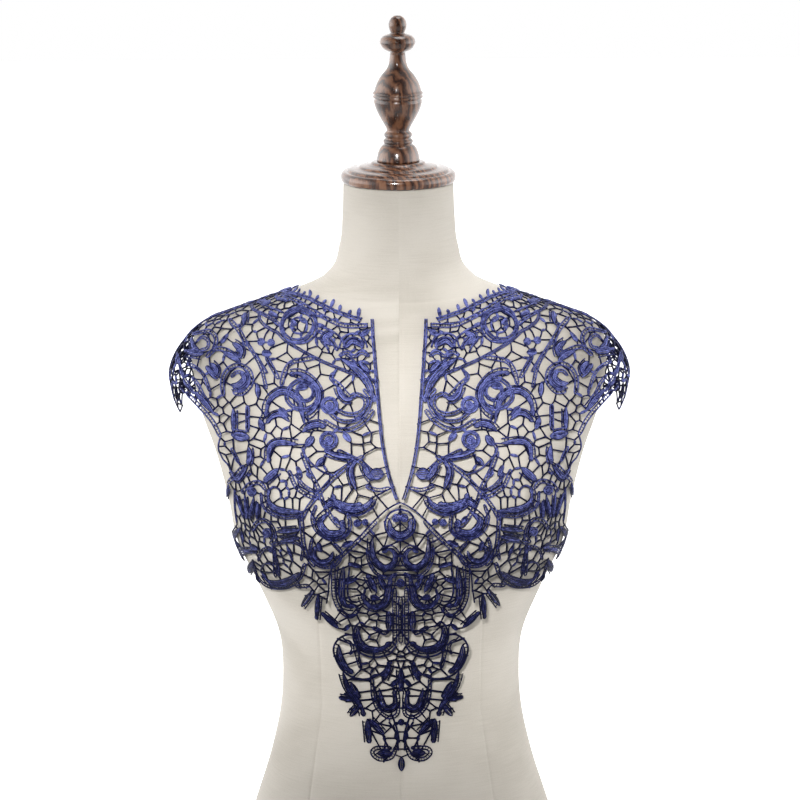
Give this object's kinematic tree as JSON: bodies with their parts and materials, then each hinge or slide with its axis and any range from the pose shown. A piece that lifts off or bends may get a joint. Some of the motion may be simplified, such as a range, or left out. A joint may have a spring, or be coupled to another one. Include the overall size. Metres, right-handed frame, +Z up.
{
  "type": "lace collar on dress form",
  "caption": "Open guipure lace collar with a front slit, wide shoulder wings and a long front point, laid over a limbless padded dress form with a turned wooden neck cap and finial.",
  "frame": {"origin": "centre of the dress form's flat underside", "axes": "+Z up along the form, -Y out of the chest, +X to the right as the collar is seen from the front"},
  "size_m": [0.4276, 0.2395, 0.839],
  "materials": {
    "blue_thread": "indigo rayon embroidery thread, satin sheen",
    "linen": "cream linen cover, plain weave, matte",
    "walnut": "red-brown turned wood, glossy varnish"
  },
  "bodies": {
    "root": {"neck_band": "blue_thread", "front_left": "blue_thread", "front_right": "blue_thread", "centre_point": "blue_thread", "back_yoke": "blue_thread", "dress_form": "linen", "neck_cap": "walnut", "finial": "walnut"}
  },
  "joints": []
}
